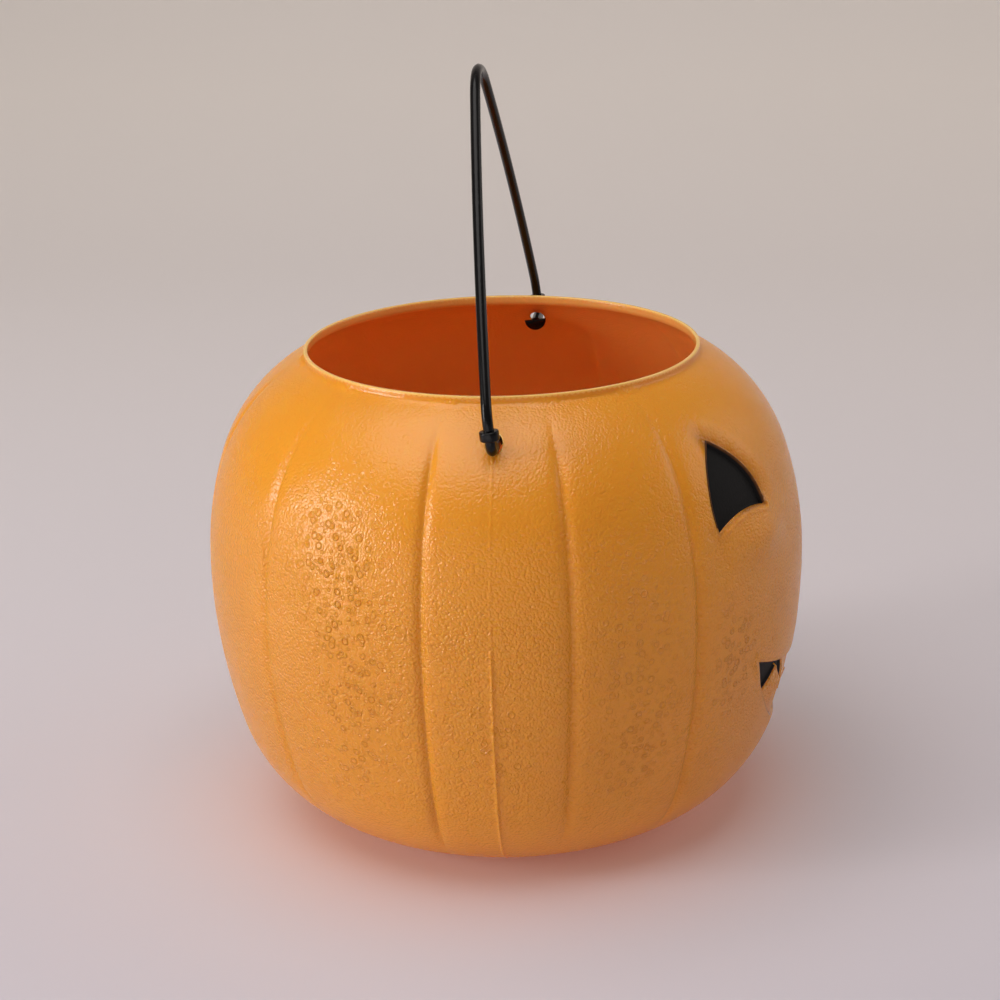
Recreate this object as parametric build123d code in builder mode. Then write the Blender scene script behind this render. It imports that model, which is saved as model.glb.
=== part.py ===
from build123d import *
import os
from math import acos, asin, atan2, cos, degrees, hypot, pi, radians, sin, sqrt, tan

# A jack-o'-lantern pail: a blown shell with a punched rim hole on each side, and a bail that snaps
# into the holes. Millimetres, +Z up, standing on z = 0 about the Z axis, with its face towards -Y.

# Shell outline, a chain of four tangent arcs turned about Z
belly_radius = 114.0
belly_height = 101.0
base_radius = 50.9  # where the heel starts to curve up from the standing ring
rim_radius = 74.4
shoulder_height = 180.0  # where the shoulder runs into the rim collar
shoulder_slope = 24.8  # degrees that the shoulder still falls at the collar
heel_turn = 16.4  # degrees under level that the skin faces where the flank runs into the heel
shoulder_turn = 18.7  # and over level where it runs into the shoulder
rim_collar_height = 2.6
wall = 1.3

# Underside, a standing ring round a raised panel with the pinched-off tail of the blown tube
standing_ring_width = 7.0
push_up_depth = 3.0
push_up_run = 6.0
pinch_off_length = 64.0
pinch_off_width = 1.6
pinch_off_height = 0.8
parting_y = -6.0  # the mould halves meet a little in front of the middle

# Grooves between the pumpkin's lobes
groove_width = 3.4
groove_depth = 1.0
groove_foot_height = 31.0  # below this and above the next the groove runs out of the surface
groove_head_height = 163.0
groove_run_out = 16.0
groove_angles = (42.2, 17.1, -9.4, -43.8, -76.6)  # degrees from each side towards the face

# Face, sunk into the front along the way the mould opens
eye_spread = 60.0  # middle of an eye from the middle of the face
eye_foot_height = 133.8
eye_width = 25.5
eye_height = 28.5
eye_lean = 2.0  # top corner inside the middle of the eye
eye_tilt = 3.2  # inner corner above the outer one
eye_outer_bow = 4.3
eye_inner_bow = 2.6
eye_cheek_bow = 3.1
eye_depth = 1.8
nose_foot_height = 96.0
nose_width = 21.0
nose_height = 18.0
nose_bow = 1.6
mouth_half_width = 57.6
mouth_corner_height = 78.7
upper_lip_height = 66.5  # both lips at the middle of the face
lower_lip_height = 37.0
mouth_depth = 4.0
tooth_set_back = 0.8
lip_step = 0.4  # ledge that the set-back leaves inside the lips
side_tooth = (22.0, 36.0, 49.5)  # inner foot, tip and outer foot, out from the middle of the face
upper_tooth = (5.0, 17.0, 31.0)
middle_tooth = (-9.0, 0.0, 9.0)
side_tooth_gap = 3.6  # from each tip to the other lip
upper_tooth_gap = 10.5
middle_tooth_gap = 14.5
paint_thickness = 0.2
paint_clearance = 0.06

# Bail, a moulded rod with stop collars outside the shell and retaining heads inside
rod_diameter = 3.7
pivot_drop = 13.2  # pivot axis below the rim
pivot_hole_diameter = 6.0
pivot_hole_rise = 0.75  # the hung pin lies low in its hole
bail_height = 115.5  # crown's middle line above the pivot axis
bail_lean = 6.2  # degrees that the bail leans back as it stands
crown_radius = 24.0
side_bow = 7.0  # degrees that each side leaves the crown above a straight run to the leg
leg_bend_radius = 14.0
leg_upright = 9.0  # upright end of each leg above the pivot axis
leg_stand_off = 6.4  # leg's middle line out from the shell's skin at the pivot
elbow_radius = 3.0
collar_diameter = 6.8
collar_height = 3.4
collar_rise = 6.2  # collar's middle above the pivot axis
collar_edge = 0.5
head_width = 8.6
head_top = 1.7  # flat top of the head above the pivot axis
head_thickness = 2.0
head_stand_in = 9.7  # head's outer face in from the shell's skin at the pivot

rim_height = shoulder_height + rim_collar_height
pivot_height = rim_height - pivot_drop


def polar(centre, radius, angle):
    """Point at an angle in radians on a circle."""
    return (centre[0] + radius * cos(angle), centre[1] + radius * sin(angle))


def two_radii(run, rise, turn, fall):
    """Radii of a flank that turns from upright, and of the arc that takes over and ends at a fall."""
    flank_run, flank_rise = 1 - cos(turn), sin(turn)
    end_run, end_rise = cos(turn) - sin(fall), cos(fall) - sin(turn)
    share = flank_run * end_rise - end_run * flank_rise
    return (run * end_rise - end_run * rise) / share, (flank_run * rise - flank_rise * run) / share


def outline_arcs():
    """Centre, radius, first and last angle of the heel, two flank and shoulder arcs of the skin."""
    down, up, fall = radians(heel_turn), radians(shoulder_turn), radians(shoulder_slope)
    lower, heel = two_radii(belly_radius - base_radius, belly_height, down, 0)
    upper, shoulder = two_radii(belly_radius - rim_radius, shoulder_height - belly_height, up, fall)
    shoulder_centre = (rim_radius - shoulder * sin(fall), shoulder_height - shoulder * cos(fall))
    return (
        ((base_radius, heel), heel, -pi / 2, -down),
        ((belly_radius - lower, belly_height), lower, -down, 0.0),
        ((belly_radius - upper, belly_height), upper, 0.0, up),
        (shoulder_centre, shoulder, up, pi / 2 - fall),
    )


def draw_arc(centre, radius, first, last):
    """One arc of an outline, between two angles in radians."""
    CenterArc(centre, radius, degrees(first), degrees(last - first))


def arc_at(height, inset=0):
    """Place in the chain of the inset arc that passes a height, and the angle on it there."""
    arcs = outline_arcs()
    tops = [centre[1] + (radius - inset) * sin(last) for centre, radius, _, last in arcs]
    place = next(place for place, top in enumerate(tops) if height <= top)
    centre, radius = arcs[place][:2]
    return place, asin((height - centre[1]) / (radius - inset))


def skin_radius(height):
    """Radius of the skin at a height."""
    place, angle = arc_at(height)
    return polar(*outline_arcs()[place][:2], angle)[0]


def body_inside(inset, top):
    """Solid of revolution inside the shell's skin by an inset, with its neck open up to a height."""
    arcs = outline_arcs()
    neck = rim_radius - inset
    shoulder_centre, shoulder = arcs[3][0], arcs[3][1] - inset
    neck_angle = pi / 2 - asin((neck - shoulder_centre[0]) / shoulder)
    neck_foot = polar(shoulder_centre, shoulder, neck_angle)
    rise = atan2(push_up_depth, push_up_run)
    ring = base_radius - standing_ring_width + inset * tan(rise / 2)
    with BuildPart() as body:
        with BuildSketch(Plane.XZ):
            with BuildLine():
                Polyline(
                    neck_foot,
                    (neck, top),
                    (0, top),
                    (0, push_up_depth + inset),
                    (ring - push_up_run, push_up_depth + inset),
                    (ring, inset),
                    (base_radius, inset),
                )
                for centre, radius, first, last in arcs[:3]:
                    draw_arc(centre, radius - inset, first, last)
                draw_arc(shoulder_centre, shoulder, arcs[3][2], neck_angle)
            make_face()
        revolve(axis=Axis.Z)
    return body.part


def groove_tool(grow):
    """Keeled tool along one side's meridian, grown by an amount, running out of the skin at both ends."""
    arcs = outline_arcs()
    foot_place, foot_angle = arc_at(groove_foot_height)
    head_place, head_angle = arc_at(groove_head_height)
    foot = polar(*arcs[foot_place][:2], foot_angle)
    head = polar(*arcs[head_place][:2], head_angle)
    flare = groove_width / 2 / groove_depth
    keel = groove_depth + grow * hypot(1, flare) / flare
    top = 2 * groove_depth
    with BuildPart() as tool:
        with BuildLine(Plane.XZ) as path:
            Line(polar(foot, groove_run_out, foot_angle - pi / 2), foot)
            for place in range(foot_place, head_place + 1):
                centre, radius, first, last = arcs[place]
                draw_arc(centre, radius, max(first, foot_angle), min(last, head_angle))
            Line(head, polar(head, groove_run_out, head_angle + pi / 2))
        with BuildSketch(Plane(path.line @ 0, x_dir=(0, 1, 0), z_dir=path.line % 0)):
            half_width = flare * (keel + top)
            Polygon((0, keel), (-half_width, -top), (half_width, -top), align=None)
        sweep(path=path.line)
    return tool.part


def eye_outline(grow=0):
    """Triangular left eye in front view, grown or shrunk by an amount."""
    outer = (-eye_spread - eye_width / 2, eye_foot_height - eye_tilt / 2)
    inner = (eye_width / 2 - eye_spread, eye_foot_height + eye_tilt / 2)
    peak = (eye_lean - eye_spread, eye_foot_height + eye_height)
    with BuildSketch(Plane.XZ) as outline:
        with BuildLine():
            SagittaArc(peak, outer, -eye_outer_bow)
            SagittaArc(outer, inner, eye_cheek_bow)
            SagittaArc(inner, peak, -eye_inner_bow)
        make_face()
        if grow:
            offset(amount=grow)
    return outline.sketch


def nose_outline(grow=0):
    """Triangular nose in front view, bowed like the eyes."""
    left = (-nose_width / 2, nose_foot_height)
    right = (nose_width / 2, nose_foot_height)
    peak = (0, nose_foot_height + nose_height)
    with BuildSketch(Plane.XZ) as outline:
        with BuildLine():
            SagittaArc(peak, right, nose_bow)
            SagittaArc(right, left, -nose_bow)
            SagittaArc(left, peak, nose_bow)
        make_face()
        if grow:
            offset(amount=grow)
    return outline.sketch


def lip(middle_height, across):
    """Height of a lip's arc at a distance from the middle of the face."""
    sag = mouth_corner_height - middle_height
    radius = (mouth_half_width**2 + sag**2) / (2 * sag)
    return middle_height + radius - sqrt(radius**2 - across**2)


def cut_tooth(places, side, root_lip, tip_height, beyond):
    """Takes one three-cornered tooth out of the sketch, from past the lip that it grows on."""
    first, tip, last = (side * place for place in places)
    Polygon(
        (first, beyond),
        (first, lip(root_lip, first)),
        (tip, tip_height),
        (last, lip(root_lip, last)),
        (last, beyond),
        align=None,
        mode=Mode.SUBTRACT,
    )


def mouth_outline(toothed, grow=0):
    """Crescent of the mouth in front view, whole or with its teeth left standing."""
    left = (-mouth_half_width, mouth_corner_height)
    right = (mouth_half_width, mouth_corner_height)
    with BuildSketch(Plane.XZ) as outline:
        with BuildLine():
            ThreePointArc(left, (0, upper_lip_height), right)
            ThreePointArc(right, (0, lower_lip_height), left)
        make_face()
        if toothed:
            offset(amount=-lip_step)
            below, above = lower_lip_height - wall, mouth_corner_height + wall
            tip = lip(upper_lip_height, middle_tooth[1]) - middle_tooth_gap
            cut_tooth(middle_tooth, 1, lower_lip_height, tip, below)
            for side in (-1, 1):
                tip = lip(upper_lip_height, side_tooth[1]) - side_tooth_gap
                cut_tooth(side_tooth, side, lower_lip_height, tip, below)
                tip = lip(lower_lip_height, upper_tooth[1]) + upper_tooth_gap
                cut_tooth(upper_tooth, side, upper_lip_height, tip, above)
        if grow:
            offset(amount=grow)
    return outline.sketch


def sunk(outline, depth):
    """What lies in front of a floor at a depth under the skin, within a front outline."""
    floor = body_inside(depth, rim_height)
    with BuildPart() as cut:
        extrude(outline, amount=belly_radius + wall, dir=(0, -1, 0))
        add(floor, mode=Mode.SUBTRACT)
    return cut.part


def paint_film(outline, depth):
    """Coat of paint within a front outline, on the floor that is sunk to a depth."""
    under = body_inside(depth - paint_clearance, rim_height)
    over = body_inside(depth - paint_clearance - paint_thickness, rim_height)
    with BuildPart() as film:
        extrude(outline, amount=belly_radius + wall, dir=(0, -1, 0))
        add(over, mode=Mode.INTERSECT)
        add(under, mode=Mode.SUBTRACT)
    return film.part


# Shell, one blown wall that follows the lobes and the face inside and out
left_eye_cut = sunk(eye_outline(), eye_depth)
left_eye_back = sunk(eye_outline(wall), eye_depth + wall)
face_cuts = (
    left_eye_cut,
    mirror(left_eye_cut, Plane.YZ, mode=Mode.PRIVATE),
    sunk(nose_outline(), eye_depth),
    sunk(mouth_outline(False), tooth_set_back),
    sunk(mouth_outline(True), mouth_depth),
)
back_cuts = (
    left_eye_back,
    mirror(left_eye_back, Plane.YZ, mode=Mode.PRIVATE),
    sunk(nose_outline(wall), eye_depth + wall),
    sunk(mouth_outline(False, wall), tooth_set_back + wall),
    sunk(mouth_outline(True, wall), mouth_depth + wall),
)
groove = groove_tool(0)
groove_back = groove_tool(wall)
groove_turns = [turn for angle in groove_angles for turn in (-angle, 180 + angle)]

with BuildPart() as cavity:
    add(body_inside(wall, rim_height + wall))
    for cut in back_cuts:
        add(cut, mode=Mode.SUBTRACT)
    for turn in groove_turns:
        add(groove_back, rotation=(0, 0, turn), mode=Mode.SUBTRACT)

with BuildPart() as pail_shell:
    add(body_inside(0, rim_height))
    for cut in face_cuts:
        add(cut, mode=Mode.SUBTRACT)
    for turn in groove_turns:
        add(groove, rotation=(0, 0, turn), mode=Mode.SUBTRACT)
    add(cavity.part, mode=Mode.SUBTRACT)
    with Locations((0, parting_y, pivot_height + pivot_hole_rise)):
        Cylinder(pivot_hole_diameter / 2, 2 * belly_radius, rotation=(0, 90, 0), mode=Mode.SUBTRACT)
    with BuildSketch(Plane.XY.offset(push_up_depth)):
        with Locations((0, parting_y)):
            SlotOverall(pinch_off_length, pinch_off_width)
    extrude(amount=-pinch_off_height)

# Bail, swept along its bent route in a plane through the pivot axis
lean = radians(bail_lean)
bail_plane = Plane((0, parting_y, pivot_height), x_dir=(1, 0, 0), z_dir=(0, -cos(lean), sin(lean)))
leg_x = skin_radius(pivot_height) + leg_stand_off
head_x = skin_radius(pivot_height) - head_stand_in
bend_centre = (leg_x - leg_bend_radius, leg_upright)
crown_centre = (0, bail_height - crown_radius)
reach = (bend_centre[0], crown_centre[1] - bend_centre[1])
straight_angle = acos((leg_bend_radius - crown_radius) / hypot(*reach)) - atan2(*reach)
crown_angle = pi / 2 - straight_angle + radians(side_bow)  # where a side leaves the crown, from level
crown_end = polar(crown_centre, crown_radius, crown_angle)
gap = (crown_end[0] - bend_centre[0], crown_end[1] - bend_centre[1])
gap_out = gap[0] * cos(crown_angle) + gap[1] * sin(crown_angle)
side_radius = (hypot(*gap) ** 2 - leg_bend_radius**2) / (2 * (gap_out - leg_bend_radius))
side_centre = polar(crown_end, -side_radius, crown_angle)
bend_angle = atan2(bend_centre[1] - side_centre[1], bend_centre[0] - side_centre[0])

with BuildPart() as bail_handle:
    with BuildLine(bail_plane) as route:
        Line((head_x - head_thickness / 2, 0), (leg_x - elbow_radius, 0))
        draw_arc((leg_x - elbow_radius, elbow_radius), elbow_radius, -pi / 2, 0)
        Line((leg_x, elbow_radius), (leg_x, leg_upright))
        draw_arc(bend_centre, leg_bend_radius, 0, bend_angle)
        draw_arc(side_centre, side_radius, bend_angle, crown_angle)
        draw_arc(crown_centre, crown_radius, crown_angle, pi / 2)
        mirror(about=Plane.YZ)
    bail_route = route.wires()[0]
    with BuildSketch(Plane(bail_route @ 0, z_dir=bail_route % 0)):
        Circle(rod_diameter / 2)
    sweep(path=bail_route)
    for side in (-1, 1):
        collar_foot = bail_plane.from_local_coords((side * leg_x, collar_rise - collar_height / 2, 0))
        with BuildSketch(Plane(collar_foot, z_dir=bail_plane.y_dir)):
            Circle(collar_diameter / 2)
        extrude(amount=collar_height)
        collar_rims = bail_handle.edges(Select.LAST).filter_by(GeomType.CIRCLE)
        chamfer(collar_rims.filter_by(lambda edge: edge.radius > rod_diameter / 2 + collar_edge), collar_edge)
        head_face = bail_plane.from_local_coords((min(side * head_x, side * (head_x - head_thickness)), 0, 0))
        with BuildSketch(Plane(head_face, x_dir=-bail_plane.z_dir, z_dir=(1, 0, 0))):
            with BuildLine():
                Line((-head_width / 2, head_top), (head_width / 2, head_top))
                ThreePointArc(
                    (head_width / 2, head_top), (0, head_top - head_width / 2), (-head_width / 2, head_top)
                )
            make_face()
        extrude(amount=head_thickness)

# Paint on the floors of the face, left and right as seen from in front
left_eye = paint_film(eye_outline(-paint_clearance), eye_depth)
paints = {
    "left_eye_paint": left_eye,
    "right_eye_paint": mirror(left_eye, Plane.YZ, mode=Mode.PRIVATE),
    "nose_paint": paint_film(nose_outline(-paint_clearance), eye_depth),
    "mouth_paint": paint_film(mouth_outline(True, -paint_clearance), mouth_depth),
}

os.makedirs("parts", exist_ok=True)
pail_shell.part.label = "pail_shell"
export_step(pail_shell.part, "parts/pail_shell.step")
bail_handle.part.label = "bail_handle"
export_step(bail_handle.part, "parts/bail_handle.step")
for name, film in paints.items():
    film.label = name
    export_step(film, f"parts/{name}.step")
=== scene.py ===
from math import acos, atan2, cos, hypot, pi, radians, sin

import bmesh
import bpy
import numpy as np
from mathutils import Matrix, Vector
from mathutils.geometry import delaunay_2d_cdt


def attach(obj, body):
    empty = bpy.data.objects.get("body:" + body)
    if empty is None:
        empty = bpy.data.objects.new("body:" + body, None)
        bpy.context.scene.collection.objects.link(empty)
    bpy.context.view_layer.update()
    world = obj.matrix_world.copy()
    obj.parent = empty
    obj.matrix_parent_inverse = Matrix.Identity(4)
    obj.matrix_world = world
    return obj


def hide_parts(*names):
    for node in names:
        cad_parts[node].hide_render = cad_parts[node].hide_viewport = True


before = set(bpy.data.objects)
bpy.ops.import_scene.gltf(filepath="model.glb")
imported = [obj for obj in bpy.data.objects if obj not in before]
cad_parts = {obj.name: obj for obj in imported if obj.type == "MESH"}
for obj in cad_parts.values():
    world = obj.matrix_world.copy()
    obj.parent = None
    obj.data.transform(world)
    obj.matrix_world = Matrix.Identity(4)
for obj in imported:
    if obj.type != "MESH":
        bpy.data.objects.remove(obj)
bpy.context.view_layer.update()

# A jack-o'-lantern pail on a pale studio sweep. The pail's lengths are millimetres until a mesh is made, and
# the studio's are metres. The body stands about Z with its face towards -Y, and angles round it are counted
# from the face. A span runs from where a form is nothing to where it is full. A swell is a height, the place
# where it is reached and how far it spreads.

MM = 0.001

# Shell, as the solids have it
belly_radius = 114.0
belly_height = 101.0
base_radius = 50.9
rim_radius = 74.4
rim_height = 182.6
shoulder_height = 180.0
shoulder_slope = radians(24.8)
heel_turn = radians(16.4)
shoulder_turn = radians(18.7)
wall = 1.3
collar_fillet = 0.6
standing_ring_width = 7.0
push_up_depth = 3.0
push_up_run = 6.0
parting_y = -6.0

# Ridge where the blown tube was pinched shut
pinch_off_length = 64.0
pinch_off_width = 1.6
pinch_off_height = 0.8

# Creases between the lobes, with shoulders that fall away softly
crease_depth = 1.8
crease_reach = 1.45
crease_round = 0.3
crease_foot, crease_head, crease_fade = 24.0, 168.0, 26.0
crease_angles = (42.2, 17.1, -9.4, -43.8, -76.6)  # degrees from each side towards the face
crease_shares = (0.85, 0.95, 1.0, 0.6, 0.6)  # of the full depth

# Line where the mould halves met: a fine ridge between two faint grooves, that grows into a flash low down
seam_height = 0.05
seam_width = 0.45
seam_head = (176.0, 168.0)
seam_groove = (0.07, 0.9, 0.4)  # swell, inwards, by distance from the line
seam_groove_head = (174.0, 168.0)
seam_flash = 0.55
flash_foot, flash_head = (4.0, 16.0), (110.0, 94.0)

# Face, in front view
eye_peak, eye_outer, eye_inner = (-58.0, 162.3), (-72.75, 132.2), (-47.25, 135.4)
eye_bows = (-4.3, 3.1, -2.6)
eye_depth = 1.8
eye_wall = 0.8
nose_peak, nose_right, nose_left = (0.0, 114.0), (10.5, 96.0), (-10.5, 96.0)
nose_bow = 1.6
mouth_half_width = 57.6
mouth_corner_height = 78.7
upper_lip_height = 66.5
lower_lip_height = 37.0
mouth_depth = 2.6
mouth_wall = 0.9
wall_softening = 0.8  # of recess walls on the inner face, as a share of the softening there
lining_soft = 2.0  # softening of the inner face
tooth_set_back = 1.1
lip_step = 0.4
side_tooth = (22.0, 36.0, 48.5)
upper_tooth = (5.0, 17.0, 31.0)
middle_tooth = (-9.0, 0.0, 9.0)
side_tooth_gap = 3.6
upper_tooth_gap = 10.5
middle_tooth_gap = 14.5
face_limit = 0.2  # cosine of the angle from the face past which there is none of it
far_away = 99.0  # stands for any distance that is too great to matter

# Brow and cheek. Swells go by distance from the eye, and the cheek's by places across and up the face
eye_edge = (0.0, 1.5)
brow_hollow = (-1.5, 1.2, 2.8)
brow_ridge = (0.5, 7.5, 3.4)
brow_inside, brow_foot, brow_head = (66.0, 56.0), (135.0, 143.0), (176.0, 166.0)
eyelid = (0.45, 1.0, 0.9)
eyelid_foot, eyelid_head = (100.0, 110.0), (141.0, 135.0)
cheek_across, cheek_up = (2.6, 54.0, 13.0), (1.0, 126.0, 8.0)
cheek_crease = (-0.9, 0.0, 2.6)  # swell, by distance from its slanting line
cheek_crease_top = (73.5, 133.0)
cheek_crease_slant = 0.08
cheek_crease_foot, cheek_crease_head = (112.0, 124.0), (137.0, 132.0)

# Lips and lower teeth. Swells go by distance from the lips, and smile_across by place across the face
lip_roll = (0.6, 1.2, 1.4)
smile_cheek = (1.0, 8.0, 7.0)
smile_across = (1.0, 40.0, 22.0)
smile_foot = (66.0, 76.0)
tooth_pillow = 2.2
tooth_pillow_reach = 6.5
tooth_tip_drop = 4.0  # of the pillow's top below the upper lip
tooth_tip_fade = 8.0
tooth_foot_drop, tooth_foot_fade = 22.0, 20.0
tooth_edge, tooth_foot_edge = (-0.9, 0.0), (0.0, -5.0)

# Paint
paint_edge = 0.3  # paint that ran past the edge of each recess
paint_thickness = 0.1
# brown line where the paint breaks over a recess edge: worn paint, and a painted highlight of the edge
# catching light
paint_wear = (1.0, 0.02, 0.16)  # swell, by distance from the recess
eye_bare_floor, eye_bare_wall = 0.9, 2.6  # heights above an eye's lower edge
# brown on the skin by the face: over the brow side of each eye, overspray of black paint together with
# painted shade in the hollow there; a thin dark line of both round each eye; and painted shade in the crease
# at the foot of the teeth
mist_reach, mist_strength = 2.4, 0.62
mist_inside, mist_foot = (64.0, 58.0), (134.0, 140.0)
mist_round_eye = (0.35, 0.0, 0.5)
mist_under_teeth = (0.5, -0.7, 0.6)
mist_off_black = 0.2  # nearest that it comes to the black of the mouth

# Burst bubbles: degrees from the side towards the face, height, reaches in degrees and mm, strength
bubble_fields = (
    (-26, 126, 8, 26, 1.0),
    (-22, 84, 9, 30, 0.85),
    (-28, 52, 10, 18, 0.5),
    (52, 84, 6, 24, 1.4),
    (30, 94, 9, 36, 0.85),
    (30, 54, 9, 20, 0.75),
    (4, 66, 9, 34, 0.6),
    (-62, 90, 14, 40, 0.4),
)
fewest_bubbles, most_bubbles = 0.06, 1.7

# Grain of the skin, as a share of its full height
least_grain = 0.25
grain_foot, grain_head = (14.0, 44.0), (160.0, 110.0)
grain_lost_to_bubbles = 0.6
lining_grain = 0.2
base_grain = 0.15
pinch_off_grain = 0.3

# Cut edges of the rim and the holes, painted pale as a painted highlight
outer_edge_highlight, inner_edge_highlight = 0.7, 0.5  # widths below the rim
hole_edge_highlight = 0.8

# Bail
rod_radius = 1.85
rod_ridge_height = 0.09
rod_ridge_width = 0.13  # radians round the rod
neck_radius = 2.1  # where the rod goes through the wall
neck_taper = 2.0
pivot_height = 169.4
hole_radius = 3.0
hole_height = 170.15
bail_height = 115.5
bail_lean = radians(6.2)
crown_radius = 24.0
side_bow = radians(7.0)
leg_bend_radius = 14.0
leg_upright = 9.0
leg_x = 96.69
elbow_radius = 3.0
collar_radius = 3.4
collar_height = 3.4
collar_edge = 0.5
collar_rise = 6.2
head_x = 80.59
head_width = 8.6
head_top = 1.7
head_thickness = 2.0
head_middle = 0.42  # below its flat, as a share of its radius
head_edge = ((0.86, 0.0), (0.96, 0.12), (1.0, 0.4))  # shares of the head's size, and depths, round its edge

# Mesh: points round the shell, a hole, the rod, the collar and the pinch-off line
columns = 224
hole_sides = 32
rod_sides = 28
collar_sides = 40
pinch_off_sides = 40


def ramp(x, nothing, full):
    """Rises smoothly from 0 at one end of a span to 1 at the other."""
    share = np.clip((x - nothing) / (full - nothing), 0, 1)
    return share * share * (3 - 2 * share)


def bell(x):
    """A smooth hump of height 1 about 0, all but gone at 2."""
    return np.exp(-x * x)


def swell(x, height, middle, reach):
    """A smooth hump of a height about a middle."""
    return height * bell((x - middle) / reach)


# Profile of the wall

def two_radii(run, rise, turn, fall):
    """Radii of a flank that turns from upright, and of the arc that takes over and ends at a fall."""
    flank_run, flank_rise = 1 - cos(turn), sin(turn)
    end_run, end_rise = cos(turn) - sin(fall), cos(fall) - sin(turn)
    share = flank_run * end_rise - end_run * flank_rise
    return (run * end_rise - end_run * rise) / share, (flank_run * rise - flank_rise * run) / share


class WallLine:
    """One face of the wall in profile, from the standing ring to the rim, by length along it."""

    def __init__(self, inset):
        lower, heel = two_radii(belly_radius - base_radius, belly_height, heel_turn, 0)
        upper, shoulder = two_radii(
            belly_radius - rim_radius, shoulder_height - belly_height, shoulder_turn, shoulder_slope
        )
        top = (rim_radius - shoulder * sin(shoulder_slope), shoulder_height - shoulder * cos(shoulder_slope))
        neck = rim_radius - inset
        neck_turn = acos((neck - top[0]) / (shoulder - inset))
        arcs = (
            ((base_radius, heel), heel, -pi / 2, -heel_turn),
            ((belly_radius - lower, belly_height), lower, -heel_turn, 0),
            ((belly_radius - upper, belly_height), upper, 0, shoulder_turn),
            (top, shoulder, shoulder_turn, neck_turn),
        )
        arc_points, neck_points, step = 200, 60, 0.1
        runs = []
        for centre, radius, first, last in arcs:
            turn = np.linspace(first, last, arc_points)[:-1]
            runs.append(np.array(centre) + (radius - inset) * np.c_[np.cos(turn), np.sin(turn)])
        neck_foot = top[1] + (shoulder - inset) * sin(neck_turn)
        runs.append(np.c_[np.full(neck_points, neck), np.linspace(neck_foot, rim_height, neck_points)])
        points = np.concatenate(runs)
        length = np.r_[0, np.cumsum(np.hypot(*np.diff(points, axis=0).T))]
        self.v = np.arange(0, length[-1], step)
        even = np.c_[np.interp(self.v, length, points[:, 0]), np.interp(self.v, length, points[:, 1])]
        # a running mean rounds the corner under the collar
        reach = int(4 * collar_fillet / step)
        weights = bell(np.arange(-reach, reach + 1) * step / collar_fillet)
        weights /= weights.sum()
        padded = np.concatenate((2 * even[0] - even[reach:0:-1], even, 2 * even[-1] - even[-2:-reach - 2:-1]))
        self.r, self.z = (np.convolve(padded[:, i], weights, "valid") for i in (0, 1))
        rise, run = np.gradient(self.z), np.gradient(self.r)
        size = np.hypot(rise, run)
        self.nr, self.nz = rise / size, -run / size
        self.end = self.v[-1]

    def at(self, v):
        """Radius, height and outward normal at lengths along the line."""
        return [np.interp(v, self.v, column) for column in (self.r, self.z, self.nr, self.nz)]

    def length_at(self, height):
        """Lengths along the line at heights."""
        return np.interp(height, self.z, self.v)


# Outlines of the face

def bowed(first, last, bow):
    """Points from one corner up to the next, on a side that bows to its left by an amount."""
    first, last = np.array(first), np.array(last)
    share = np.linspace(0, 1, 25)[:-1, None]
    run = last - first
    left = np.array((-run[1], run[0])) / hypot(*run)
    return first + share * run + 4 * bow * share * (1 - share) * left


def lip(middle_height, across):
    """Height of a lip's arc at a distance from the middle of the face."""
    sag = mouth_corner_height - middle_height
    radius = (mouth_half_width**2 + sag**2) / (2 * sag)
    return middle_height + radius - np.sqrt(radius**2 - across**2)


def lip_points(middle_height, first, last):
    """Points along a lip's arc between two distances from the middle of the face."""
    spacing = 1.5
    across = np.linspace(first, last, max(3, int(abs(last - first) / spacing)))
    return np.c_[across, lip(middle_height, across)]


def mouth_points():
    """Black part of the mouth: along the upper lip to the right, and back along the lower lip."""
    edge = mouth_half_width
    side_tip = lip(upper_lip_height, side_tooth[1]) - side_tooth_gap
    upper_tip = lip(lower_lip_height, upper_tooth[1]) + upper_tooth_gap
    middle_tip = lip(upper_lip_height, middle_tooth[1]) - middle_tooth_gap
    a, b, c = upper_tooth
    d, e, f = side_tooth
    return np.concatenate((
        lip_points(upper_lip_height, -edge, -c), [(-b, upper_tip)],
        lip_points(upper_lip_height, -a, a), [(b, upper_tip)],
        lip_points(upper_lip_height, c, edge)[:-1],
        lip_points(lower_lip_height, edge, f), [(e, side_tip)],
        lip_points(lower_lip_height, d, middle_tooth[2]), [(0, middle_tip)],
        lip_points(lower_lip_height, middle_tooth[0], -d), [(-e, side_tip)],
        lip_points(lower_lip_height, -f, -edge)[:-1],
    ))


left_eye = np.concatenate((
    bowed(eye_peak, eye_outer, eye_bows[0]),
    bowed(eye_outer, eye_inner, eye_bows[1]),
    bowed(eye_inner, eye_peak, eye_bows[2]),
))
outlines = {
    "left_eye": left_eye,
    "right_eye": left_eye[::-1] * (-1, 1),
    "nose": np.concatenate((
        bowed(nose_peak, nose_right, nose_bow),
        bowed(nose_right, nose_left, -nose_bow),
        bowed(nose_left, nose_peak, nose_bow),
    )),
    "lips": np.concatenate((
        lip_points(upper_lip_height, -mouth_half_width, mouth_half_width)[:-1],
        lip_points(lower_lip_height, mouth_half_width, -mouth_half_width)[:-1],
    )),
    "mouth": mouth_points(),
}


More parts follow.
